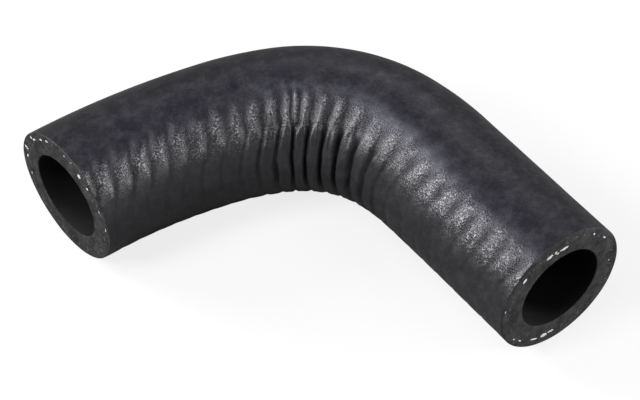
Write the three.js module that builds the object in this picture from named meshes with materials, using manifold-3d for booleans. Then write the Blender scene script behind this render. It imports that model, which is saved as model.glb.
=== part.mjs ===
// Moulded rubber elbow for a turbocharger's oil line, in millimetres, lying on its side with +Z up.
// Its centreline runs from cut end A, which faces -X, round a right angle to cut end B, which faces -Y.
// Around the tube, an angle of 0 is the inner side of the bend, 90 the top and 180 the outer side.
import * as THREE from "three";
import { mergeVertices } from "three/addons/utils/BufferGeometryUtils.js";
import Module from "manifold-3d";

// Tube
const outerDiameter = 28;
const boreDiameter = 18;

// Centreline: a leg that curves slowly, a bend that tightens and opens again, and a straight leg
const legALength = 34;
const legATurn = 14;
const wholeTurn = 90;
const bendRadius = 27.4;
const easeLength = 11.8;
const legBLength = 36.8;

// End A is cut a few degrees off square, shorter on the inner side
const endASlant = 4;

// The rubber is pushed together on the inner side of the bend and stands thicker there
const innerThickening = 1.4;
const thickeningShift = -4.5;
const thickeningSpread = 16;

// Wrinkles across the inner side: pitch from crest to crest, and height from the mean skin to a crest.
// The wide ones are counted each way from the groove at the middle of the bend
const legPitch = 4.42;
const bendPitch = 6.33;
const wideWrinkles = 2;
const grooveShift = 0.5;
const legWrinkle = 0.17;
const bendWrinkle = 0.45;
const wrinkleCentre = 2;
const wrinkleSpread = 16;

// Angles where the wrinkles change: the bend's are deepest up to the first, the legs' at the third
const deepAngle = 30;
const ridgeAngle = 44;
const shoulderAngle = 48;
const shoulderSpread = 14;
const wrinkledAngle = 58;
const smoothAngle = 76;

// Shares of their height that the wrinkles keep: the bend's on the shoulders, the legs' at the
// innermost line, and all of them towards the underside
const ridgeShare = 0.5;
const legInnerShare = 0.25;
const underShare = 0.4;
const underAngle = -36;

// How far the wrinkles lean along the tube between two angles: everywhere, more on leg A, and back
// again past the middle of the bend
const leanStart = 8;
const leanEnd = 50;
const leanBoth = 1.1;
const leanLegA = 2.2;
const leanBack = 2.4;
const leanBackShift = 10;
const leanBackSpread = 5;

// Fineness of the faces
const samplesPerWrinkle = 6;
const wrinkledColumns = 16;
const smoothColumns = 14;
const boreColumns = 20;
const boreStep = 5;

// Length that the bore's cutter stands out of each cut end
const cutterOverrun = 3;

const radians = THREE.MathUtils.degToRad;
const outerRadius = outerDiameter / 2;
const boreRadius = boreDiameter / 2;
const easeTurn = easeLength / bendRadius / 2;
const roundTurn = radians(wholeTurn - legATurn) - 2 * easeTurn;
const roundLength = bendRadius * roundTurn;
const bendLength = roundLength + 2 * easeLength;
const routeLength = legALength + bendLength + legBLength;
const bendMiddle = legALength + bendLength / 2;

// Stretches of even curvature, in order from end A
const stretches = [
  { length: legALength, turn: radians(legATurn) },
  { length: easeLength, turn: easeTurn },
  { length: roundLength, turn: roundTurn },
  { length: easeLength, turn: easeTurn },
  { length: legBLength, turn: 0 },
];

// Point and heading of the centreline at a distance from end A; past each end it runs on straight
function routeAt(distance) {
  const point = new THREE.Vector2(0, 0);
  let heading = 0;
  let left = distance;
  for (const { length, turn } of stretches) {
    const run = Math.min(Math.max(left, 0), length);
    const turned = (turn * run) / length;
    const chord = turned > 0 ? (run * Math.sin(turned / 2)) / (turned / 2) : run;
    point.x += chord * Math.cos(heading - turned / 2);
    point.y += chord * Math.sin(heading - turned / 2);
    heading -= turned;
    left -= run;
  }
  point.x += left * Math.cos(heading);
  point.y += left * Math.sin(heading);
  return { point, heading };
}

// Place in space of a point beside the centreline: inward is toward the inside of the bend
function placeOnRoute(distance, inward, up) {
  const { point, heading } = routeAt(distance);
  const shear = Math.tan(radians(endASlant)) * inward * Math.max(0, 1 - distance / legALength);
  const x = point.x + inward * Math.sin(heading) + shear;
  const y = point.y - inward * Math.cos(heading);
  return [x, y, up + outerRadius];
}

const { lerp, smoothstep, radToDeg } = THREE.MathUtils;
const bell = (offset, spread) => Math.exp(-((offset / spread) ** 2) / 2);

// Number of wrinkles between the middle groove and a distance past it, and the other way round
function wrinkleCount(offset) {
  const inBend = Math.min(Math.abs(offset), wideWrinkles * bendPitch);
  const inLeg = Math.abs(offset) - inBend;
  return Math.sign(offset) * (inBend / bendPitch + inLeg / legPitch);
}

function offsetOfCount(count) {
  const inBend = Math.min(Math.abs(count), wideWrinkles);
  const inLeg = Math.abs(count) - inBend;
  return Math.sign(count) * (inBend * bendPitch + inLeg * legPitch);
}

// How far along the tube the wrinkles stand from their place at the innermost line
function leanAt(offset, degrees) {
  const more = leanLegA * smoothstep(-offset, 0, wideWrinkles * bendPitch);
  const less = leanBack * bell(offset - leanBackShift, leanBackSpread);
  return (leanBoth + more - less) * smoothstep(degrees, leanStart, leanEnd);
}

// Height of the wrinkles at a distance from the middle of the bend and an angle around the tube
function wrinkleHeight(offset, angle) {
  const degrees = Math.abs(radToDeg(angle));
  const deep = 1 - smoothstep(degrees, deepAngle, ridgeAngle);
  const shoulder = bell(degrees - shoulderAngle, shoulderSpread);
  const onLeg = legWrinkle * lerp(legInnerShare, 1, shoulder);
  const onBend = bendWrinkle * lerp(ridgeShare, 1, deep);
  const height = lerp(onLeg, onBend, bell(offset - wrinkleCentre, wrinkleSpread));
  const under = lerp(1, underShare, smoothstep(-radToDeg(angle), 0, -underAngle));
  const fade = 1 - smoothstep(degrees, wrinkledAngle, smoothAngle);
  return height * under * fade;
}

// Radius of the skin at a distance from the middle of the bend and an angle around the tube
function skinRadius(offset, angle) {
  const innerShare = Math.max(0, Math.cos(angle)) ** 2;
  const thickening = innerThickening * innerShare * bell(offset - thickeningShift, thickeningSpread);
  const leaned = offset - grooveShift - leanAt(offset, Math.abs(radToDeg(angle)));
  const wave = -Math.cos(2 * Math.PI * wrinkleCount(leaned));
  return outerRadius + thickening + wrinkleHeight(offset, angle) * wave;
}

// Angles of the skin's columns: close together where it is wrinkled, wide apart where it is smooth
function skinAngles() {
  const angles = [];
  for (let i = 0; i < wrinkledColumns; i += 1) {
    angles.push(radians(smoothAngle * ((2 * i) / wrinkledColumns - 1)));
  }
  for (let i = 0; i < smoothColumns; i += 1) {
    angles.push(radians(smoothAngle + (i * (360 - 2 * smoothAngle)) / smoothColumns));
  }
  return angles;
}

// Round section whose x is up and whose y is inward
function roundSection(radius, angles) {
  const points = angles.map((a) => new THREE.Vector2(radius * Math.sin(a), radius * Math.cos(a)));
  return new THREE.Shape(points);
}

// Straight extrusion carried onto the route by a function of its z, its inward and its up
function carried(section, depth, steps, carry) {
  const geometry = new THREE.ExtrudeGeometry(section, { depth, steps, bevelEnabled: false });
  const position = geometry.getAttribute("position");
  for (let i = 0; i < position.count; i += 1) {
    const place = carry(position.getZ(i), position.getY(i), position.getX(i));
    position.setXYZ(i, ...place);
  }
  return geometry;
}

// Skin: its straight extrusion is as deep as its count of wrinkles, so each one gets as many faces
function skinGeometry() {
  const firstCount = wrinkleCount(-bendMiddle);
  const countDepth = wrinkleCount(routeLength - bendMiddle) - firstCount;
  const steps = Math.round(countDepth * samplesPerWrinkle);
  return carried(roundSection(outerRadius, skinAngles()), countDepth, steps, (z, inward, up) => {
    const offset = offsetOfCount(firstCount + z);
    const angle = Math.atan2(up, inward);
    const radius = skinRadius(offset, angle);
    return placeOnRoute(offset + bendMiddle, radius * Math.cos(angle), radius * Math.sin(angle));
  });
}

function boreGeometry() {
  const angles = Array.from({ length: boreColumns }, (_, i) => (i * 2 * Math.PI) / boreColumns);
  const depth = routeLength + 2 * cutterOverrun;
  const steps = Math.round(depth / boreStep);
  return carried(roundSection(boreRadius, angles), depth, steps, (z, inward, up) =>
    placeOnRoute(z - cutterOverrun, inward, up)
  );
}

const wasm = await Module();
wasm.setup();

function solidOf(geometry) {
  geometry.deleteAttribute("normal");
  geometry.deleteAttribute("uv");
  const merged = mergeVertices(geometry);
  const vertProperties = new Float32Array(merged.getAttribute("position").array);
  const triVerts = new Uint32Array(merged.getIndex().array);
  return new wasm.Manifold(new wasm.Mesh({ numProp: 3, vertProperties, triVerts }));
}

function geometryOf(solid) {
  const mesh = solid.getMesh();
  const geometry = new THREE.BufferGeometry();
  geometry.setAttribute("position", new THREE.BufferAttribute(mesh.vertProperties, 3));
  geometry.setIndex(new THREE.BufferAttribute(mesh.triVerts, 1));
  geometry.computeVertexNormals();
  return geometry;
}

const rubber = new THREE.MeshStandardMaterial({ color: 0x2b2b2e, roughness: 0.62, metalness: 0 });
const hose = new THREE.Mesh(geometryOf(solidOf(skinGeometry()).subtract(solidOf(boreGeometry()))), rubber);
hose.name = "hose";

// The origin is the centre of the hose's box, on the surface that it lies on
const box = new THREE.Box3().setFromObject(hose);
const middle = box.getCenter(new THREE.Vector3());
hose.position.set(-middle.x, -middle.y, -box.min.z);

const part = new THREE.Group();
part.add(hose);

export default part;
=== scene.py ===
# Moulded rubber elbow hose for a turbocharger's oil line, lying on a pale floor.
import math

import bpy
from mathutils import Matrix, Vector


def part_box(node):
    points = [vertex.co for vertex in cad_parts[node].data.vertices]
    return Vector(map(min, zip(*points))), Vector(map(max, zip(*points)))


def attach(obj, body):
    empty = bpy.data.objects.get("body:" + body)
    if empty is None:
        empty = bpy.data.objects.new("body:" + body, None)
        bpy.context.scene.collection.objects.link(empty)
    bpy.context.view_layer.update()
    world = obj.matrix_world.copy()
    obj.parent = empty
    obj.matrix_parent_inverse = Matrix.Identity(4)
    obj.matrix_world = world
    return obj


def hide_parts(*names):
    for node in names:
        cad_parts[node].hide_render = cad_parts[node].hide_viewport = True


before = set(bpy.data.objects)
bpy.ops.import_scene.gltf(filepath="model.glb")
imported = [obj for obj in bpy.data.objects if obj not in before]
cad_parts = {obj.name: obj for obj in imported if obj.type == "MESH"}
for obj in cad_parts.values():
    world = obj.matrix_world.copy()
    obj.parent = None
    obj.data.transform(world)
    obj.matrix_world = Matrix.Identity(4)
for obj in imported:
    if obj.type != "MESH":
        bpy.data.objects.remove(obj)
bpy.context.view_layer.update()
hoseLow, hoseHigh = (Vector(corner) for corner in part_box("hose"))
print("frame loaded, nodes:", sorted(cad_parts))

mm = 0.001

# The tube and its centreline, as the solid has them
tube = {
    "outerDiameter": 28 * mm,
    "boreDiameter": 18 * mm,
    "legALength": 34 * mm,
    "legATurn": math.radians(14),
    "wholeTurn": math.radians(90),
    "bendRadius": 27.4 * mm,
    "easeLength": 11.8 * mm,
    "legBLength": 36.8 * mm,
    "endASlant": math.radians(4),
    "rimRadius": 0.2 * mm,        # the cut edges are almost sharp
}

# What the skin does on the way along the tube
skin = {
    "innerThickening": 1.4 * mm,  # rubber pushed together on the inner side of the bend
    "thickeningPlace": -4.5 * mm,
    "thickeningSpread": 16 * mm,
    "legPitch": 4.42 * mm,        # wrinkles, crest to crest
    "bendPitch": 6.33 * mm,
    "wideWrinkles": 2.0,          # how many of the bend's pitch lie each way of its middle groove
    "grooveShift": 0.5 * mm,
    "legWrinkle": 0.22 * mm,      # mean skin to crest
    "bendWrinkle": 0.58 * mm,
    "heightVariation": 0.5,       # along each wrinkle and from one to the next
    "bendCentre": 1 * mm,
    "deepReach": 11 * mm,         # the wrinkles are deep this far from there, and shallow past the next
    "shallowReach": 28 * mm,
    "broadAngle": math.radians(30),     # up to here the bend has broad crests and narrow grooves
    "ridgeAngle": math.radians(44),     # from here on they are even ridges
    "wrinkledAngle": math.radians(58),  # up to here the wrinkles are whole
    "smoothAngle": math.radians(76),    # and here they are gone
    "shoulderAngle": math.radians(48),  # the legs' wrinkles are highest here
    "shoulderSpread": math.radians(14),
    "innerNarrowness": 6.0,       # 1 is a plain wave, more has narrow grooves, less has sharp ridges
    "ridgeNarrowness": 0.55,
    "legANarrowness": 1.4,
    "legBNarrowness": 1.6,
    "upperShare": 0.44,           # of the bend's wrinkles, past the broad part
    "legAInnerShare": 0.5,        # of the legs' wrinkles, at the innermost line
    "legBInnerShare": 0.25,
    "underShare": 0.4,            # of the wrinkles, towards the underside
    "underShareA": 0.15,
    "grooveShareUpper": 0.7,      # how much painted shade darkens the grooves, past the broad part of the bend
    "grooveShareA": 0.5,          # and on the legs
    "grooveShareB": 0.85,
    "leanBoth": 0.9 * mm,         # how far the wrinkles lean along the tube towards the top
    "leanLegA": 2.8 * mm,
    "leanBend": -2.0 * mm,
    "leanBendPlace": 9 * mm,
    "leanBendSpread": 7 * mm,
    "leanGrowth": 1.6,            # how much more they lean near the top
    "branchPlace": -9 * mm,       # here one ridge branches in two, seen upwards
    "branchAngle": math.radians(40),
    "branchSpread": 3.5 * mm,
    "wander": 0.6 * mm,           # how far a crest strays from its place
    "waver": 0.26 * mm,           # and how much its edges waver
    "creaseHeight": 0.12 * mm,    # small folds between the wrinkles of the bend
    "creaseWidth": 0.25,
    "creaseSteepness": 3.0,
    "dentHeight": 0.07 * mm,      # slow unevenness all over
    "cutRoughness": 0.05 * mm,    # the knife's marks on the ends
    "cutReach": 0.8 * mm,         # and how far in they are felt
}

# Where the skin changes, begun at the first place and complete at the second: along the tube from the
# middle of the bend, then around it from the inner side
changes = {
    "leanOfLegA": (-5 * mm, -12 * mm),
    "innerShareOfLegA": (-10 * mm, -25 * mm),
    "ontoLegA": (-14 * mm, -26 * mm),
    "narrownessOfLegA": (-24 * mm, -38 * mm),
    "narrownessOfLegB": (8 * mm, 17 * mm),
    "leanBegins": (math.radians(8), math.radians(50)),
    "leanGrows": (math.radians(46), math.radians(70)),
    "underside": (0.0, math.radians(-30)),
}

# Fineness of what is uneven in the shape, in waves per metre
wavesPerMetre = {
    "wander": 95.0,
    "waver": 600.0,
    "heightVariation": 130.0,
    "crease": 420.0,
    "dent": 75.0,
    "knife": 260.0,
}

# Fineness of the mesh
fineness = {
    "columns": 230,               # around the tube
    "crowding": 0.4,              # how much closer they stand on the inner side
    "skinRows": 320,
    "boreRows": 56,
    "faceRows": 9,
    "rimRows": 3,
    "mergeDistance": 0.001 * mm,
    "routeSteps": 300,
    "fleckDivisions": 2,
}


def wire(tree, value, socket):
    if isinstance(value, bpy.types.NodeSocket):
        tree.links.new(value, socket)
    else:
        socket.default_value = value


def addNode(tree, kind, inputs=None, **settings):
    node = tree.nodes.new(kind)
    for name, value in settings.items():
        setattr(node, name, value)
    for key, value in (inputs or {}).items():
        wire(tree, value, node.inputs[key])
    return node


def calc(tree, operation, *values):
    node = addNode(tree, "ShaderNodeMath", operation=operation)
    for socket, value in zip(node.inputs, values):
        wire(tree, value, socket)
    return node.outputs[0]


def vectorCalc(tree, operation, *values):
    node = addNode(tree, "ShaderNodeVectorMath", operation=operation)
    for socket, value in zip(node.inputs, values):
        wire(tree, value, socket)
    return node.outputs[0]


def scaled(tree, vector, factor):
    node = addNode(tree, "ShaderNodeVectorMath", {"Vector": vector, "Scale": factor}, operation="SCALE")
    return node.outputs["Vector"]


def combined(tree, x, y, z):
    return addNode(tree, "ShaderNodeCombineXYZ", {"X": x, "Y": y, "Z": z}).outputs[0]


def product(tree, first, *others):
    for value in others:
        first = calc(tree, "MULTIPLY", first, value)
    return first


# 1 at the middle, and falling away evenly on both sides of it
def bell(tree, value, middle, spread):
    share = calc(tree, "DIVIDE", calc(tree, "SUBTRACT", value, middle), spread)
    return calc(tree, "EXPONENT", product(tree, share, share, -0.5))


def between(tree, low, high, share):
    return calc(tree, "ADD", low, calc(tree, "MULTIPLY", calc(tree, "SUBTRACT", high, low), share))


# A smooth rise from 0 at the first value to 1 at the second
def risen(tree, value, start, end):
    inputs = {"Value": value, "From Min": start, "From Max": end}
    return addNode(tree, "ShaderNodeMapRange", inputs, interpolation_type="SMOOTHSTEP").outputs[0]


def signedNoise(tree, vector, scale, detail=2.0):
    node = addNode(tree, "ShaderNodeTexNoise", {"Vector": vector, "Scale": scale, "Detail": detail})
    return calc(tree, "MULTIPLY_ADD", node.outputs[0], 2.0, -1.0)


def newTree(name, sizes, objects=()):
    tree = bpy.data.node_groups.new(name, "GeometryNodeTree")
    face = tree.interface
    face.new_socket(name="Geometry", in_out="INPUT", socket_type="NodeSocketGeometry")
    for size in sizes:
        kind = "NodeSocketInt" if isinstance(sizes[size], int) else "NodeSocketFloat"
        face.new_socket(name=size, in_out="INPUT", socket_type=kind)
    for label in objects:
        face.new_socket(name=label, in_out="INPUT", socket_type="NodeSocketObject")
    face.new_socket(name="Geometry", in_out="OUTPUT", socket_type="NodeSocketGeometry")
    return tree, tree.nodes.new("NodeGroupInput").outputs, tree.nodes.new("NodeGroupOutput").inputs[0]


def applyTree(carrier, tree, values, name):
    modifier = carrier.modifiers.new(tree.name, "NODES")
    modifier.node_group = tree
    for item in tree.interface.items_tree:
        if item.in_out == "INPUT" and item.name in values:
            modifier[item.identifier] = values[item.name]
    bpy.context.view_layer.update()
    evaluated = carrier.evaluated_get(bpy.context.evaluated_depsgraph_get())
    mesh = bpy.data.meshes.new_from_object(evaluated)
    carrier.modifiers.clear()
    bpy.data.objects.remove(carrier)
    piece = bpy.data.objects.new(name, mesh)
    bpy.context.scene.collection.objects.link(piece)
    triangles = sum(len(face.vertices) - 2 for face in mesh.polygons)
    print(name, "made:", len(mesh.vertices), "vertices,", triangles, "triangles")
    return piece


def newCarrier(name, points, edges=()):
    mesh = bpy.data.meshes.new(name)
    mesh.from_pydata(points, edges, [])
    carrier = bpy.data.objects.new(name, mesh)
    bpy.context.scene.collection.objects.link(carrier)
    return carrier


# Centreline: stretches of even curvature, in order from end A
easeTurn = tube["easeLength"] / tube["bendRadius"] / 2
roundTurn = tube["wholeTurn"] - tube["legATurn"] - 2 * easeTurn
roundLength = tube["bendRadius"] * roundTurn
bendLength = roundLength + 2 * tube["easeLength"]
routeLength = tube["legALength"] + bendLength + tube["legBLength"]
bendMiddle = tube["legALength"] + bendLength / 2
stretches = [
    (tube["legALength"], tube["legATurn"]),
    (tube["easeLength"], easeTurn),
    (roundLength, roundTurn),
    (tube["easeLength"], easeTurn),
    (tube["legBLength"], 0.0),
]


def routeAt(distance):
    x = y = heading = 0.0
    left = distance
    for length, turn in stretches:
        run = min(max(left, 0.0), length)
        turned = turn * run / length
        chord = run * math.sin(turned / 2) / (turned / 2) if turned > 0 else run
        x += chord * math.cos(heading - turned / 2)
        y += chord * math.sin(heading - turned / 2)
        heading -= turned
        left -= run
    return x + left * math.cos(heading), y + left * math.sin(heading), heading


outerRadius = tube["outerDiameter"] / 2
boreRadius = tube["boreDiameter"] / 2
endX, endY = routeAt(routeLength)[:2]
routeShift = Vector((hoseHigh.x - outerRadius - endX, hoseLow.y - endY, hoseLow.z + outerRadius))


def placeOnRoute(distance, inward, up):
    x, y, heading = routeAt(distance)
    shear = math.tan(tube["endASlant"]) * inward * max(0.0, 1 - distance / tube["legALength"])
    return Vector((x + inward * math.sin(heading) + shear, y - inward * math.cos(heading), up)) + routeShift


def makeRoute():
    steps = fineness["routeSteps"]
    curve = bpy.data.curves.new("route", "CURVE")
    curve.dimensions = "3D"
    spline = curve.splines.new("POLY")
    spline.points.add(steps)
    for i, point in enumerate(spline.points):
        point.co = (*placeOnRoute(routeLength * i / steps, 0.0, 0.0), 1.0)
    route = bpy.data.objects.new("route", curve)
    bpy.context.scene.collection.objects.link(route)
    return route


# Half of the straight tube's section, as a closed loop of points: x along the tube and y from its axis
def halfSection():
    rim = tube["rimRadius"]
    points = []

    def line(start, end, count):
        for i in range(count):
            points.append(start.lerp(end, i / count))

    def corner(centre, firstAngle):
        for i in range(fineness["rimRows"]):
            angle = math.radians(firstAngle - 90 * i / fineness["rimRows"])
            points.append(centre + rim * Vector((math.cos(angle), math.sin(angle), 0)))

    along = (rim, routeLength - rim)
    radii = (boreRadius + rim, outerRadius - rim)
    line(Vector((along[0], outerRadius, 0)), Vector((along[1], outerRadius, 0)), fineness["skinRows"])
    corner(Vector((along[1], radii[1], 0)), 90)
    line(Vector((routeLength, radii[1], 0)), Vector((routeLength, radii[0], 0)), fineness["faceRows"])
    corner(Vector((along[1], radii[0], 0)), 0)
    line(Vector((along[1], boreRadius, 0)), Vector((along[0], boreRadius, 0)), fineness["boreRows"])
    corner(Vector((along[0], radii[0], 0)), -90)
    line(Vector((0, radii[0], 0)), Vector((0, radii[1], 0)), fineness["faceRows"])
    corner(Vector((along[0], radii[1], 0)), 180)
    return points


# A grid with a row for each point of the half section and a column for each step around
def sweepGrid(tree, given):
    grid = addNode(tree, "GeometryNodeMeshGrid", {
        "Size X": given["rows"], "Size Y": given["columns"],
        "Vertices X": calc(tree, "ADD", given["rows"], 1),
        "Vertices Y": calc(tree, "ADD", given["columns"], 1),
    })
    position = addNode(tree, "GeometryNodeInputPosition").outputs[0]
    place = addNode(tree, "ShaderNodeSeparateXYZ", {0: position})
    halfRows = calc(tree, "MULTIPLY", given["rows"], 0.5)
    row = calc(tree, "ROUND", calc(tree, "ADD", place.outputs[0], halfRows))
    row = calc(tree, "MODULO", row, given["rows"])
    point = addNode(tree, "GeometryNodeSampleIndex", {
        "Geometry": given["Geometry"], "Value": position, "Index": row,
    }, data_type="FLOAT_VECTOR")
    section = addNode(tree, "ShaderNodeSeparateXYZ", {0: point.outputs[0]})

    # The inner side is at angle 0, and the columns stand over twice as close there as on the outer side
    turnShare = calc(tree, "DIVIDE", place.outputs[1], given["columns"])
    fullTurn = calc(tree, "MULTIPLY", turnShare, 2 * math.pi)
    crowded = calc(tree, "MULTIPLY", calc(tree, "SINE", fullTurn), given["crowding"])
    around = calc(tree, "SUBTRACT", fullTurn, crowded)
    return grid.outputs["Mesh"], section.outputs[0], section.outputs[1], around


# How many wrinkles lie between the middle of the bend and a place, with their lean and wander
def wrinkleCount(tree, given, straight, offset, angle):
    wander = calc(tree, "MULTIPLY", signedNoise(tree, straight, wavesPerMetre["wander"]), given["wander"])
    waver = signedNoise(tree, straight, wavesPerMetre["waver"], 1.0)
    wander = calc(tree, "MULTIPLY_ADD", waver, given["waver"], wander)
    onLegA = risen(tree, offset, *changes["leanOfLegA"])
    lean = calc(tree, "MULTIPLY_ADD", onLegA, given["leanLegA"], given["leanBoth"])
    pastMiddle = bell(tree, offset, given["leanBendPlace"], given["leanBendSpread"])
    lean = calc(tree, "MULTIPLY_ADD", pastMiddle, given["leanBend"], lean)
    lean = calc(tree, "MULTIPLY", lean, risen(tree, angle, *changes["leanBegins"]))
    growth = between(tree, 1.0, given["leanGrowth"], risen(tree, angle, *changes["leanGrows"]))
    lean = calc(tree, "MULTIPLY", lean, growth)
    leaned = calc(tree, "SUBTRACT", calc(tree, "SUBTRACT", offset, given["grooveShift"]), lean)
    leaned = calc(tree, "ADD", leaned, wander)
    halfBend = calc(tree, "MULTIPLY", given["wideWrinkles"], given["bendPitch"])
    withinBend = calc(tree, "MAXIMUM", leaned, calc(tree, "MULTIPLY", halfBend, -1.0))
    withinBend = calc(tree, "MINIMUM", withinBend, halfBend)
    legCount = calc(tree, "DIVIDE", calc(tree, "SUBTRACT", leaned, withinBend), given["legPitch"])
    count = calc(tree, "ADD", calc(tree, "DIVIDE", withinBend, given["bendPitch"]), legCount)
    return calc(tree, "SUBTRACT", count, branching(tree, given, offset, angle))


# Above the branch the count gains a whole wrinkle on the way past it, below it nothing
def branching(tree, given, offset, angle):
    past = calc(tree, "SUBTRACT", offset, given["branchPlace"])
    beyond = calc(tree, "SUBTRACT", angle, given["branchAngle"])
    beyond = calc(tree, "MULTIPLY", beyond, given["outerRadius"])
    plainRise = calc(tree, "ARCTANGENT", calc(tree, "DIVIDE", past, given["branchSpread"]))
    gained = calc(tree, "SUBTRACT", calc(tree, "ARCTAN2", beyond, past), plainRise)
    quarter = 0.25    # keeps the wrinkles below the branch in their places
    return calc(tree, "MULTIPLY_ADD", gained, 0.5 / math.pi, quarter)


# Small folds across the bend, longer around the tube than along it
def folds(tree, given, straight, inBend, fade):
    longAround = (1.0, 0.35, 0.35)
    squeezed = vectorCalc(tree, "MULTIPLY", straight, longAround)
    fold = calc(tree, "ABSOLUTE", signedNoise(tree, squeezed, wavesPerMetre["crease"], 1.0))
    fold = calc(tree, "MULTIPLY", calc(tree, "SUBTRACT", given["creaseWidth"], fold), given["creaseHeight"])
    fold = calc(tree, "MULTIPLY", fold, inBend)
    return calc(tree, "MULTIPLY", fold, calc(tree, "MULTIPLY", fade, given["creaseSteepness"]))


# Height of the wrinkles and folds, and what the materials read of them
def wrinkles(tree, given, straight, offset, around):
    angle = calc(tree, "ABSOLUTE", around)
    fromCentre = calc(tree, "ABSOLUTE", calc(tree, "SUBTRACT", offset, given["bendCentre"]))
    inBend = risen(tree, fromCentre, given["shallowReach"], given["deepReach"])
    onLegA = risen(tree, offset, *changes["ontoLegA"])
    broad = risen(tree, angle, given["ridgeAngle"], given["broadAngle"])

    # Crests, from 0 in a groove to 1 on a ridge, and about their mean
    turn = calc(tree, "MULTIPLY", wrinkleCount(tree, given, straight, offset, angle), 2 * math.pi)
    wave = calc(tree, "MULTIPLY_ADD", calc(tree, "COSINE", turn), -0.5, 0.5)
    narrowA = risen(tree, offset, *changes["narrownessOfLegA"])
    narrowness = between(tree, given["ridgeNarrowness"], given["legANarrowness"], narrowA)
    narrowB = risen(tree, offset, *changes["narrownessOfLegB"])
    narrowness = between(tree, narrowness, given["legBNarrowness"], narrowB)
    narrowness = between(tree, narrowness, given["innerNarrowness"], broad)
    groove = calc(tree, "POWER", calc(tree, "SUBTRACT", 1.0, wave), narrowness)
    crest = calc(tree, "SUBTRACT", 1.0, groove)
    meanFall = 0.45    # a plain wave's mean is 0.5, and that of narrower grooves falls at this power
    meanGroove = calc(tree, "DIVIDE", 0.5, calc(tree, "POWER", narrowness, meanFall))
    meanCrest = calc(tree, "SUBTRACT", 1.0, meanGroove)

    # They fade away from the inner side, and are lower in the underside's half
    fade = risen(tree, angle, given["smoothAngle"], given["wrinkledAngle"])
    underShare = between(tree, given["underShare"], given["underShareA"], onLegA)
    underside = risen(tree, around, *changes["underside"])
    fade = calc(tree, "MULTIPLY", fade, between(tree, 1.0, underShare, underside))

    # Height on the legs and in the bend
    variation = signedNoise(tree, straight, wavesPerMetre["heightVariation"])
    variation = calc(tree, "MULTIPLY_ADD", variation, given["heightVariation"], 1.0)
    sideways = bell(tree, angle, given["shoulderAngle"], given["shoulderSpread"])
    innerA = risen(tree, offset, *changes["innerShareOfLegA"])
    innerShare = between(tree, given["legBInnerShare"], given["legAInnerShare"], innerA)
    legHeight = calc(tree, "MULTIPLY", given["legWrinkle"], between(tree, innerShare, 1.0, sideways))
    bendHeight = calc(tree, "MULTIPLY", given["bendWrinkle"], between(tree, given["upperShare"], 1.0, broad))
    height = calc(tree, "MULTIPLY", between(tree, legHeight, bendHeight, inBend), variation)
    wrinkle = calc(tree, "SUBTRACT", crest, meanCrest)
    wrinkle = calc(tree, "MULTIPLY", wrinkle, calc(tree, "MULTIPLY", height, 2.0))
    wrinkle = calc(tree, "MULTIPLY", wrinkle, fade)
    raised = calc(tree, "ADD", wrinkle, folds(tree, given, straight, inBend, fade))

    # How far down in a groove a place lies, weighed by how much painted shade the grooves get there
    legShare = between(tree, given["grooveShareB"], given["grooveShareA"], onLegA)
    legShare = calc(tree, "MULTIPLY", sideways, legShare)
    bendShare = between(tree, given["grooveShareUpper"], 1.0, broad)
    valley = calc(tree, "MULTIPLY", calc(tree, "SUBTRACT", 1.0, crest), fade)
    valley = calc(tree, "MULTIPLY", valley, between(tree, legShare, bendShare, inBend))
    marks = {"crest": calc(tree, "MULTIPLY", crest, fade), "valley": valley, "angle": angle, "along": offset}
    return raised, marks


# Rubber pushed together on the inner side of the bend
def thickened(tree, given, offset, cosine):
    innerSide = calc(tree, "POWER", calc(tree, "MAXIMUM", cosine, 0.0), 2.0)
    nearBend = bell(tree, offset, given["thickeningPlace"], given["thickeningSpread"])
    return calc(tree, "MULTIPLY", calc(tree, "MULTIPLY", given["innerThickening"], innerSide), nearBend)


# Onto the route, with the slant of end A and the knife's marks on both ends
def ontoRoute(tree, given, along, inward, up):
    route = addNode(tree, "GeometryNodeObjectInfo", {"Object": given["route"]}).outputs["Geometry"]
    sample = addNode(tree, "GeometryNodeSampleCurve", {"Curves": route, "Length": along},
                     mode="LENGTH", use_all_curves=True)
    tangent = sample.outputs["Tangent"]
    inner = vectorCalc(tree, "CROSS_PRODUCT", tangent, (0.0, 0.0, 1.0))
    spot = vectorCalc(tree, "ADD", sample.outputs["Position"], scaled(tree, inner, inward))
    spot = vectorCalc(tree, "ADD", spot, combined(tree, 0.0, 0.0, up))
    slantShare = calc(tree, "SUBTRACT", 1.0, calc(tree, "DIVIDE", along, given["legALength"]))
    slantShare = calc(tree, "MAXIMUM", slantShare, 0.0)
    shear = calc(tree, "MULTIPLY", calc(tree, "MULTIPLY", inward, given["slantSlope"]), slantShare)
    spot = vectorCalc(tree, "ADD", spot, combined(tree, shear, 0.0, 0.0))
    fromEnd = calc(tree, "MINIMUM", along, calc(tree, "SUBTRACT", given["routeLength"], along))
    knife = signedNoise(tree, spot, wavesPerMetre["knife"], 3.0)
    knife = calc(tree, "MULTIPLY", knife, given["cutRoughness"])
    knife = calc(tree, "MULTIPLY", knife, bell(tree, fromEnd, 0.0, given["cutReach"]))
    return vectorCalc(tree, "ADD", spot, scaled(tree, tangent, knife))


def kept(tree, geometry, name, value):
    store = addNode(tree, "GeometryNodeStoreNamedAttribute", {
        "Geometry": geometry, "Name": name, "Value": value,
    }, data_type="FLOAT", domain="POINT")
    return store.outputs[0]


def named(tree, name, kind):
    return addNode(tree, "GeometryNodeInputNamedAttribute", {"Name": name}, data_type=kind).outputs[0]


def painted(tree, geometry, material, selection):
    inputs = {"Geometry": geometry, "Selection": selection, "Material": material}
    return addNode(tree, "GeometryNodeSetMaterial", inputs).outputs[0]


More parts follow.
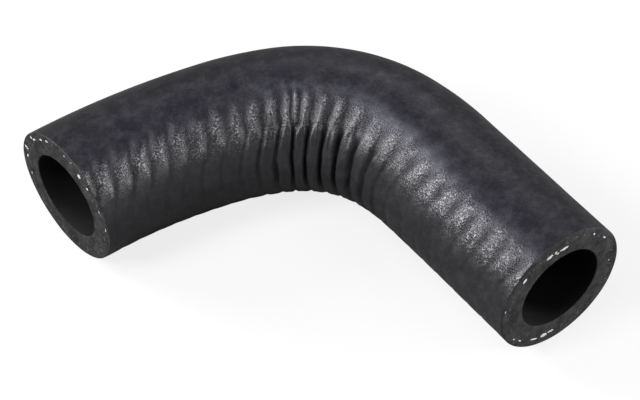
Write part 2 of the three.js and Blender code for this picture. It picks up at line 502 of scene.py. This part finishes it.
# The tree sweeps the half section around the tube, wrinkles it and lays it along the route
def hoseTree(sizes, materials):
    tree, given, result = newTree("sweep and wrinkle", sizes, ("route",))
    geometry, along, plainRadius, around = sweepGrid(tree, given)
    depth = addNode(tree, "ShaderNodeMapRange", {
        "Value": plainRadius, "From Min": given["boreRadius"], "From Max": given["outerRadius"],
    }).outputs[0]
    offset = calc(tree, "SUBTRACT", along, given["bendMiddle"])
    cosine = calc(tree, "COSINE", around)
    sine = calc(tree, "SINE", around)
    straight = combined(tree, offset, calc(tree, "MULTIPLY", cosine, given["outerRadius"]),
                        calc(tree, "MULTIPLY", sine, given["outerRadius"]))

    # What is raised on the skin fades through the wall, and the bore stays round
    wrinkled, marks = wrinkles(tree, given, straight, offset, around)
    dent = calc(tree, "MULTIPLY", signedNoise(tree, straight, wavesPerMetre["dent"]), given["dentHeight"])
    raised = calc(tree, "ADD", wrinkled, calc(tree, "ADD", thickened(tree, given, offset, cosine), dent))
    radius = calc(tree, "MULTIPLY_ADD", raised, depth, plainRadius)
    inward = calc(tree, "MULTIPLY", radius, cosine)
    up = calc(tree, "MULTIPLY", radius, sine)
    spot = ontoRoute(tree, given, along, inward, up)

    # The grid keeps what the materials read, then takes its shape and closes at its seams
    for name, value in {**marks, "depth": depth}.items():
        geometry = kept(tree, geometry, name, value)
    geometry = addNode(tree, "GeometryNodeSetPosition", {"Geometry": geometry, "Position": spot}).outputs[0]
    merging = {"Geometry": geometry, "Distance": given["mergeDistance"]}
    geometry = addNode(tree, "GeometryNodeMergeByDistance", merging).outputs[0]
    geometry = addNode(tree, "GeometryNodeFlipFaces", {"Mesh": geometry}).outputs[0]
    geometry = addNode(tree, "GeometryNodeSetShadeSmooth", {"Geometry": geometry}).outputs[0]
    geometry = addNode(tree, "GeometryNodeRealizeInstances", {"Geometry": geometry}).outputs[0]

    # Depth is 0 in the bore and 1 on the skin, with the cut faces between them
    keptDepth = named(tree, "depth", "FLOAT")
    sliver = 0.01
    onSkin = calc(tree, "GREATER_THAN", keptDepth, 1 - sliver)
    inBore = calc(tree, "LESS_THAN", keptDepth, sliver)
    geometry = painted(tree, geometry, materials["cutRubber"], True)
    geometry = painted(tree, geometry, materials["rubberSkin"], onSkin)
    geometry = painted(tree, geometry, materials["boreRubber"], inBore)
    tree.links.new(geometry, result)
    return tree


def makeHose(materials):
    section = halfSection()
    sizes = {
        **skin,
        "rows": len(section), "columns": fineness["columns"], "crowding": fineness["crowding"],
        "mergeDistance": fineness["mergeDistance"],
        "outerRadius": outerRadius, "boreRadius": boreRadius,
        "legALength": tube["legALength"], "routeLength": routeLength, "bendMiddle": bendMiddle,
        "slantSlope": math.tan(tube["endASlant"]),
    }
    route = makeRoute()
    tree = hoseTree(sizes, materials)
    hose = applyTree(newCarrier("halfSection", section), tree, {**sizes, "route": route}, "hose_body")
    bpy.data.objects.remove(route)
    return hose


# White yarn ends in the cut faces: angle around the tube in degrees, then distance from its axis,
# length and width in mm
yarn = {
    "endA": [
        (161, 12.8, 0.6, 1.3), (172, 12.3, 0.9, 0.5), (134, 12.5, 1.1, 0.5), (138, 13.1, 0.5, 0.7),
        (119, 12.6, 1.1, 0.4), (108, 12.9, 1.1, 0.35), (60, 12.4, 1.0, 1.05), (47, 12.5, 0.6, 0.55),
        (82, 13.0, 0.4, 0.25), (73, 13.2, 0.4, 0.2), (24, 12.7, 0.8, 0.2), (5, 13.1, 0.9, 0.3),
        (-166, 12.1, 0.7, 0.25),
    ],
    "endB": [
        (74, 11.6, 1.6, 0.75), (81, 11.6, 0.6, 0.7), (83, 11.0, 0.7, 0.45), (91, 11.2, 2.1, 0.6),
        (44, 12.4, 1.25, 0.7), (-74, 11.9, 1.7, 0.95), (-82, 11.6, 1.5, 0.5), (-62, 12.2, 1.9, 0.4),
        (-43, 12.6, 0.8, 0.35), (-33, 12.8, 0.6, 0.3), (12, 13.5, 0.8, 0.2), (126, 12.6, 0.6, 0.45),
        (144, 12.5, 0.9, 0.4), (-178, 11.9, 0.5, 0.25),
    ],
    "proud": 0.03 * mm,
    "thickness": 0.12,        # in mm, as in the lists
}


def fleckPoints():
    points, turns, scales = [], [], []
    step = 0.01    # a little further around the tube
    for end, distance, outward in (("endA", 0.0, -1), ("endB", routeLength, 1)):
        heading = routeAt(distance)[2]
        for angle, fromAxis, length, width in yarn[end]:
            angle = math.radians(angle)
            inward, up = fromAxis * mm * math.cos(angle), fromAxis * mm * math.sin(angle)
            place = placeOnRoute(distance, inward, up)
            ahead = placeOnRoute(distance, inward - up * step, up + inward * step) - place
            tangent = Vector((math.cos(heading), math.sin(heading), 0)) * outward
            turn = Matrix((ahead.normalized(), tangent.cross(ahead).normalized(), tangent)).transposed()
            points.append(place + tangent * yarn["proud"])
            turns.append(turn.to_euler())
            scales.append(Vector((length, width, yarn["thickness"])) * mm / 2)
    return points, turns, scales


def yarnTree(material):
    tree, given, result = newTree("yarn ends", {})
    ball = {"Radius": 1.0, "Subdivisions": fineness["fleckDivisions"]}
    fleck = addNode(tree, "GeometryNodeMeshIcoSphere", ball).outputs["Mesh"]
    flecks = addNode(tree, "GeometryNodeInstanceOnPoints", {
        "Points": given["Geometry"], "Instance": fleck,
        "Rotation": named(tree, "turn", "FLOAT_VECTOR"), "Scale": named(tree, "size", "FLOAT_VECTOR"),
    }).outputs[0]
    flecks = addNode(tree, "GeometryNodeRealizeInstances", {"Geometry": flecks}).outputs[0]
    tree.links.new(painted(tree, flecks, material, True), result)
    return tree


def makeYarnEnds(material):
    points, turns, scales = fleckPoints()
    carrier = newCarrier("fleckPlaces", points)
    for name, values in (("turn", turns), ("size", scales)):
        attribute = carrier.data.attributes.new(name, "FLOAT_VECTOR", "POINT")
        for item, value in zip(attribute.data, values):
            item.vector = value
    return applyTree(carrier, yarnTree(material), {}, "yarn_ends")


def newMaterial(name, colour, roughness):
    material = bpy.data.materials.new(name)
    material.use_nodes = True
    tree = material.node_tree
    shader = tree.nodes["Principled BSDF"]
    shader.inputs["Base Color"].default_value = (*colour, 1)
    shader.inputs["Roughness"].default_value = roughness
    place = addNode(tree, "ShaderNodeTexCoord").outputs["Object"]
    return material, tree, shader, place


def noise(tree, vector, scale, detail=2.0, roughness=0.5):
    inputs = {"Vector": vector, "Scale": scale, "Detail": detail, "Roughness": roughness}
    return addNode(tree, "ShaderNodeTexNoise", inputs).outputs[0]


def ranged(tree, value, fromLow, fromHigh, low=0.0, high=1.0):
    inputs = {"Value": value, "From Min": fromLow, "From Max": fromHigh, "To Min": low, "To Max": high}
    return addNode(tree, "ShaderNodeMapRange", inputs).outputs[0]


def mixed(tree, share, first, second):
    node = addNode(tree, "ShaderNodeMix", data_type="RGBA")
    wire(tree, share, node.inputs[0])
    for socket, colour in ((node.inputs[6], first), (node.inputs[7], second)):
        wire(tree, (*colour, 1) if isinstance(colour, tuple) else colour, socket)
    return node.outputs[2]


def bumped(tree, height, distance, normal=None):
    inputs = {"Height": height, "Distance": distance, "Strength": 1.0}
    if normal is not None:
        inputs["Normal"] = normal
    return addNode(tree, "ShaderNodeBump", inputs).outputs[0]


skinFinish = {
    "charcoal": (0.0145, 0.0141, 0.0168),
    # bluish and darker: painted shade in a band above the wrinkles
    "violet": (0.009, 0.0083, 0.0145),
    "worn": (0.049, 0.0474, 0.053),
    "deep": (0.009, 0.009, 0.009),      # painted shade in the grooves
    # painted light: a lighter grey that lifts the inner side
    "innerSide": (0.025, 0.0245, 0.0258),
    "innerShareA": 0.9,                 # how much of that painted light it takes, up to the bend and past it
    "innerShareB": 0.35,
    "bloomAndHighlight": (0.36, 0.357, 0.37),       # painted highlight, with a speckled dusty bloom, on the shoulders of the wrinkles
    "highlightShareA": 0.85,
    "highlightShareB": 1.3,
    "ridgeHighlight": 0.3,                   # the share of painted highlight along the bend's crests
    "fleck": (0.3, 0.297, 0.31),        # painted glints: bright specks on the crests of the lit shoulders
    "paintedSheen": (0.085, 0.086, 0.105),      # painted sheen, a soft light band above the wrinkles
    "sheenShareA": 0.5,
    "specular": 0.6,
    "grooveShine": 0.15,
    "glint": (0.95, 0.94, 1.0),
    "glintAbove": (0.87, 0.85, 1.0),    # above the wrinkles
    "roughness": 0.38,                  # on the whole
    "roughnesses": (0.33, 0.47),        # from the shiniest patches to the dullest
    "grainHeight": 0.15 * mm,           # in the coarse band at the shoulders of the wrinkles
    "fineHeight": 0.03 * mm,            # elsewhere
    "pebbleHeight": 0.05 * mm,
}

# Where the finish changes, begun at the first place and complete at the second: around the tube from
# its inner side, then along it from the middle of the bend
finishChanges = {
    "aboveWrinkles": (math.radians(50), math.radians(68)),
    "innerSide": (math.radians(40), math.radians(20)),
    "ontoRidges": (math.radians(42), math.radians(50)),
    "towardsEndA": (-22 * mm, -45 * mm),
    "sheenBegins": (-28 * mm, -12 * mm),
    "sheenEnds": (41 * mm, 26 * mm),
    "pastBend": (0.0, 16 * mm),
    "ontoLegB": (14 * mm, 30 * mm),
}

# Bands of the finish, by middle and spread, or by two middles or spreads for two places
bands = {
    "bluish": (math.radians(74), math.radians(13)),
    "shoulderMiddles": (math.radians(48.5), math.radians(54)),  # on the legs, and in the bend
    "shoulderBend": (5 * mm, 16 * mm),
    "shoulderSpreads": (math.radians(10), math.radians(7)),     # on the whole, and at end A
    "sheenMiddles": (math.radians(72), math.radians(65)),        # up to the bend, and past it
    "sheenSpread": math.radians(5.5),
    "ridges": (-5 * mm, 10 * mm),
}

# Noise of the finish: waves per metre, detail and roughness
finishNoise = {
    "grain": (2600.0, 1.5, 0.6),
    "pebbles": (900.0, 2.0, 0.5),
    "tint": (90.0, 3.0, 0.5),
    "worn": (330.0, 8.0, 0.82),
    "paintedSheen": (260.0, 5.0, 0.7),
    "bloomAndHighlight": (300.0, 3.0, 0.5),
    "fleck": (4000.0, 0.0, 0.5),
    "gloss": (240.0, 6.0, 0.7),
}

# The values at which a share of the finish is 0 and at which it is 1
thresholds = {
    "grooveShade": (0.5, 0.95),
    "tint": (0.3, 0.6),
    "worn": (0.46, 0.75),
    "sheenLows": (0.45, 0.25),     # up to the bend, and past it
    "sheenHigh": 0.6,
    "fleck": (0.72, 0.8),
    "fleckShoulder": (0.3, 0.7),
    "fleckCrest": (0.4, 0.9),
    "speck": (0.53, 0.62),
    "highlightPatch": (0.35, 0.6),
    "highlightCrest": (0.35, 0.85),
    "ridgeCrest": (0.6, 0.9),
    "ridgePebbles": (0.4, 0.55),
    "gloss": (0.35, 0.65),
}


def readAttribute(tree, name):
    return addNode(tree, "ShaderNodeAttribute", attribute_name=name).outputs["Fac"]


# Painted sheen: a soft light band above the wrinkles, from the bend on
def sheenShare(tree, place, angle, along, pastBend):
    middle = between(tree, *bands["sheenMiddles"], pastBend)
    patchy = noise(tree, place, *finishNoise["paintedSheen"])
    patches = ranged(tree, patchy, between(tree, *thresholds["sheenLows"], pastBend), thresholds["sheenHigh"])
    return product(
        tree,
        bell(tree, angle, middle, bands["sheenSpread"]),
        between(tree, skinFinish["sheenShareA"], 1.0, pastBend),
        risen(tree, along, *finishChanges["sheenBegins"]),
        risen(tree, along, *finishChanges["sheenEnds"]),
        patches,
    )


# The band of the wrinkles' shoulders, which takes the painted highlight and the coarse grain, stands higher
# round the tube in the bend, and is narrower at end A
def shoulderShare(tree, angle, along):
    middle = between(tree, *bands["shoulderMiddles"], bell(tree, along, *bands["shoulderBend"]))
    nearEndA = risen(tree, along, *finishChanges["towardsEndA"])
    return bell(tree, angle, middle, between(tree, *bands["shoulderSpreads"], nearEndA))


def rubberSkin():
    material, tree, shader, place = newMaterial("rubberSkin", skinFinish["charcoal"], skinFinish["roughness"])
    crest = readAttribute(tree, "crest")
    angle = readAttribute(tree, "angle")
    along = readAttribute(tree, "along")
    grooveShade = ranged(tree, readAttribute(tree, "valley"), *thresholds["grooveShade"])
    pastBend = risen(tree, along, *finishChanges["pastBend"])
    shoulder = shoulderShare(tree, angle, along)
    grain = noise(tree, place, *finishNoise["grain"])
    pebbles = noise(tree, place, *finishNoise["pebbles"])

    # Colour: charcoal, a bluish tint darkened as painted shade above the wrinkles, painted light that makes
    # the inner side greyer, and worn in patches
    # Painted shade: a darker bluish band above the wrinkles
    tint = ranged(tree, noise(tree, place, *finishNoise["tint"]), *thresholds["tint"])
    tint = calc(tree, "MULTIPLY", bell(tree, angle, *bands["bluish"]), tint)
    colour = mixed(tree, tint, skinFinish["charcoal"], skinFinish["violet"])
    # Painted light on the inner side, stronger up to the bend than past it
    inner = risen(tree, angle, *finishChanges["innerSide"])
    innerShare = between(tree, skinFinish["innerShareA"], skinFinish["innerShareB"], pastBend)
    colour = mixed(tree, calc(tree, "MULTIPLY", inner, innerShare), colour, skinFinish["innerSide"])
    worn = ranged(tree, noise(tree, place, *finishNoise["worn"]), *thresholds["worn"])
    colour = mixed(tree, worn, colour, skinFinish["worn"])
    # Painted shade: the grooves darken towards their bottoms
    colour = mixed(tree, grooveShade, colour, skinFinish["deep"])
    # Painted sheen above the wrinkles
    paintedSheen = sheenShare(tree, place, angle, along, pastBend)
    colour = mixed(tree, paintedSheen, colour, skinFinish["paintedSheen"])

    # Painted highlights: bright specks and a speckled bloom on the lit shoulders, and light lines along the
    # bend's crests
    # Painted glints, only on the shoulders' crests where the highlight falls
    fleck = ranged(tree, noise(tree, place, *finishNoise["fleck"]), *thresholds["fleck"])
    fleckShoulder = ranged(tree, shoulder, *thresholds["fleckShoulder"])
    fleck = product(tree, fleck, fleckShoulder, ranged(tree, crest, *thresholds["fleckCrest"]))
    colour = mixed(tree, fleck, colour, skinFinish["fleck"])
    speck = ranged(tree, grain, *thresholds["speck"])
    patch = ranged(tree, noise(tree, place, *finishNoise["bloomAndHighlight"]), *thresholds["highlightPatch"])
    onLegB = risen(tree, along, *finishChanges["ontoLegB"])
    highlightShare = between(tree, skinFinish["highlightShareA"], skinFinish["highlightShareB"], onLegB)
    highlightShare = calc(tree, "MULTIPLY", shoulder, highlightShare)
    # Painted highlight with a dusty bloom, on the crests where the lamps' highlight falls
    bloomAndHighlight = product(tree, speck, patch, ranged(tree, crest, *thresholds["highlightCrest"]), highlightShare)
    colour = mixed(tree, bloomAndHighlight, colour, skinFinish["bloomAndHighlight"])
    # Painted highlight along the bend's crests
    broken = ranged(tree, pebbles, *thresholds["ridgePebbles"])
    ridgeHighlight = calc(tree, "MULTIPLY", ranged(tree, crest, *thresholds["ridgeCrest"]), broken)
    onRidges = risen(tree, angle, *finishChanges["ontoRidges"])
    onRidges = calc(tree, "MULTIPLY", onRidges, bell(tree, along, *bands["ridges"]))
    ridgeHighlight = product(tree, ridgeHighlight, onRidges, skinFinish["ridgeHighlight"])
    wire(tree, mixed(tree, ridgeHighlight, colour, skinFinish["bloomAndHighlight"]), shader.inputs["Base Color"])

    # Shine: lower in the grooves, under their painted shade, and bluish above the wrinkles
    shine = between(tree, skinFinish["specular"], skinFinish["grooveShine"], grooveShade)
    wire(tree, shine, shader.inputs["Specular IOR Level"])
    above = risen(tree, angle, *finishChanges["aboveWrinkles"])
    glint = mixed(tree, above, skinFinish["glint"], skinFinish["glintAbove"])
    wire(tree, glint, shader.inputs["Specular Tint"])
    gloss = noise(tree, place, *finishNoise["gloss"])
    roughness = ranged(tree, gloss, *thresholds["gloss"], *skinFinish["roughnesses"])
    wire(tree, roughness, shader.inputs["Roughness"])

    # Relief: pebbles all over, sharper grain on the shoulders
    height = between(tree, skinFinish["fineHeight"], skinFinish["grainHeight"], shoulder)
    height = calc(tree, "MULTIPLY", calc(tree, "SUBTRACT", grain, 0.5), height)
    normal = bumped(tree, pebbles, skinFinish["pebbleHeight"])
    wire(tree, bumped(tree, height, 1.0, normal), shader.inputs["Normal"])
    return material


cutFinish = {
    "plain": (0.034, 0.034, 0.0335),
    "dark": (0.017, 0.0163, 0.0161),
    "light": (0.055, 0.0543, 0.055),
    "speck": (0.15, 0.15, 0.148),
    "roughness": 0.8,
    "specular": 0.3,
    "yarnDepth": (0.7, 0.14),     # the specks crowd here, as a share of the wall and its spread
    "speckShare": 0.15,           # of that crowd, elsewhere
    "grain": (1500.0, 3.0, 0.7),
    "patches": (420.0, 4.0, 0.65),
    "lightPatches": (0.36, 0.64),
    "specks": (0.56, 0.68),
    "grainHeight": 0.12 * mm,
    "patchHeight": 0.25 * mm,
}


def cutRubber():
    material, tree, shader, place = newMaterial("cutRubber", cutFinish["plain"], cutFinish["roughness"])
    shader.inputs["Specular IOR Level"].default_value = cutFinish["specular"]
    grain = noise(tree, place, *cutFinish["grain"])
    patch = noise(tree, place, *cutFinish["patches"])
    light = ranged(tree, patch, *cutFinish["lightPatches"])
    colour = mixed(tree, light, cutFinish["dark"], cutFinish["light"])
    nearYarn = bell(tree, readAttribute(tree, "depth"), *cutFinish["yarnDepth"])
    crowding = between(tree, cutFinish["speckShare"], 1.0, nearYarn)
    speck = calc(tree, "MULTIPLY", ranged(tree, grain, *cutFinish["specks"]), crowding)
    wire(tree, mixed(tree, speck, colour, cutFinish["speck"]), shader.inputs["Base Color"])
    normal = bumped(tree, patch, cutFinish["patchHeight"])
    wire(tree, bumped(tree, grain, cutFinish["grainHeight"], normal), shader.inputs["Normal"])
    return material


boreFinish = {
    # near black, darker than the skin's rubber: painted shade in the bore
    "black": (0.007, 0.007, 0.007),
    "roughness": 0.6,
    "specular": 0.25,
    "grain": (1200.0, 3.0),
    "grainHeight": 0.03 * mm,
}


def boreRubber():
    material, tree, shader, place = newMaterial("boreRubber", boreFinish["black"], boreFinish["roughness"])
    shader.inputs["Specular IOR Level"].default_value = boreFinish["specular"]
    grain = noise(tree, place, *boreFinish["grain"])
    wire(tree, bumped(tree, grain, boreFinish["grainHeight"]), shader.inputs["Normal"])
    return material


fibreFinish = {
    "plain": (0.8, 0.79, 0.77),
    "shaded": (0.62, 0.61, 0.59),
    "white": (0.9, 0.89, 0.87),
    "roughness": 0.8,
    "strands": (9000.0, 2.0),
    "whiteStrands": (0.35, 0.6),
    "strandHeight": 0.03 * mm,
}


def yarnFibre():
    material, tree, shader, place = newMaterial("yarnFibre", fibreFinish["plain"], fibreFinish["roughness"])
    strands = noise(tree, place, *fibreFinish["strands"])
    whiteness = ranged(tree, strands, *fibreFinish["whiteStrands"])
    colour = mixed(tree, whiteness, fibreFinish["shaded"], fibreFinish["white"])
    wire(tree, colour, shader.inputs["Base Color"])
    wire(tree, bumped(tree, strands, fibreFinish["strandHeight"]), shader.inputs["Normal"])
    return material


# Stage: a pale floor that meets a white surround, lit by soft round panels
stage = {
    "floorSize": 6.0,
    "floorColour": (0.92, 0.92, 0.92),
    "floorRoughness": 0.9,
    "floorBounce": (0.18, 0.18, 0.18),  # what the object gets back from it
    "floorGlow": 0.8,                   # share of plain white that the camera sees
    "worldStrength": 0.12,
    "panelSize": 0.3,
    "panelDistance": 0.8,
}
panels = {
    "backLeft": {"azimuth": -146, "elevation": 27, "power": 4.5},
    "left": {"azimuth": -99, "elevation": 41, "power": 4.0},
    "above": {"azimuth": -90, "elevation": 75, "power": 1.05},
    "front": {"azimuth": 20, "elevation": 33, "power": 1.6},
    "right": {"azimuth": 58, "elevation": 9, "power": 5.4},
    "back": {"azimuth": 135, "elevation": 35, "power": 0.3},
}


def directionTo(azimuth, elevation):
    a, e = math.radians(azimuth), math.radians(elevation)
    return Vector((math.sin(a) * math.cos(e), -math.cos(a) * math.cos(e), math.sin(e)))


def makeFloor():
    bpy.ops.mesh.primitive_plane_add(size=stage["floorSize"], location=(0, 0, hoseLow.z))
    floor = bpy.context.object
    floor.name = "floor"
    material, tree, shader = newMaterial("paleFloor", stage["floorColour"], stage["floorRoughness"])[:3]
    shader.inputs["Specular IOR Level"].default_value = 0.0
    toCamera = addNode(tree, "ShaderNodeLightPath").outputs["Is Camera Ray"]
    wire(tree, mixed(tree, toCamera, stage["floorBounce"], stage["floorColour"]), shader.inputs["Base Color"])
    white = addNode(tree, "ShaderNodeEmission", {"Strength": 1.0})
    share = calc(tree, "MULTIPLY", toCamera, stage["floorGlow"])
    mix = addNode(tree, "ShaderNodeMixShader", {0: share, 1: shader.outputs[0], 2: white.outputs[0]})
    tree.links.new(mix.outputs[0], tree.nodes["Material Output"].inputs["Surface"])
    floor.data.materials.append(material)


def makeWorld():
    world = bpy.data.worlds.new("surround")
    bpy.context.scene.world = world
    world.use_nodes = True
    tree = world.node_tree
    background = tree.nodes["Background"]
    background.inputs["Color"].default_value = (1, 1, 1, 1)
    toCamera = addNode(tree, "ShaderNodeLightPath").outputs["Is Camera Ray"]
    wire(tree, ranged(tree, toCamera, 0.0, 1.0, stage["worldStrength"], 1.0), background.inputs["Strength"])


def makePanels():
    middle = Vector((0, 0, (hoseLow.z + hoseHigh.z) / 2))
    for name, panel in panels.items():
        light = bpy.data.lights.new(name, "AREA")
        light.shape = "DISK"
        light.size = stage["panelSize"]
        light.energy = panel["power"]
        lamp = bpy.data.objects.new(name, light)
        toward = directionTo(panel["azimuth"], panel["elevation"])
        lamp.location = middle + toward * stage["panelDistance"]
        lamp.rotation_euler = toward.to_track_quat("Z", "Y").to_euler()
        bpy.context.scene.collection.objects.link(lamp)


# The photograph's viewing angle, with the aim point in the part's frame
view = {
    "azimuth": -34.72,
    "elevation": 48.40,
    "roll": -2.13,
    "distance": 431.3 * mm,
    "aim": (1.49 * mm, -0.05 * mm, 14.05 * mm),
    "lens": 126.3,
    "sensorWidth": 36,
    "nearClip": 10 * mm,
}


def makeCamera():
    data = bpy.data.cameras.new("camera")
    data.lens = view["lens"]
    data.sensor_width = view["sensorWidth"]
    data.clip_start = view["nearClip"]
    camera = bpy.data.objects.new("camera", data)
    back = directionTo(view["azimuth"], view["elevation"])
    level = Vector((math.cos(math.radians(view["azimuth"])), math.sin(math.radians(view["azimuth"])), 0))
    right = Matrix.Rotation(math.radians(view["roll"]), 3, back) @ level
    turn = Matrix((right, back.cross(right), back)).transposed()
    camera.matrix_world = Matrix.Translation(Vector(view["aim"]) + back * view["distance"]) @ turn.to_4x4()
    bpy.context.scene.collection.objects.link(camera)
    bpy.context.scene.camera = camera


makeCamera()
makeFloor()
makeWorld()
makePanels()
print("stage, lights and camera set")
hoseMaterials = {"rubberSkin": rubberSkin(), "cutRubber": cutRubber(), "boreRubber": boreRubber()}
body = makeHose(hoseMaterials)
flecks = makeYarnEnds(yarnFibre())
for piece, slotName in ((body, "rubber"), (flecks, "yarn")):
    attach(piece, "root")
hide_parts("hose")

bpy.context.scene.view_settings.view_transform = "Standard"
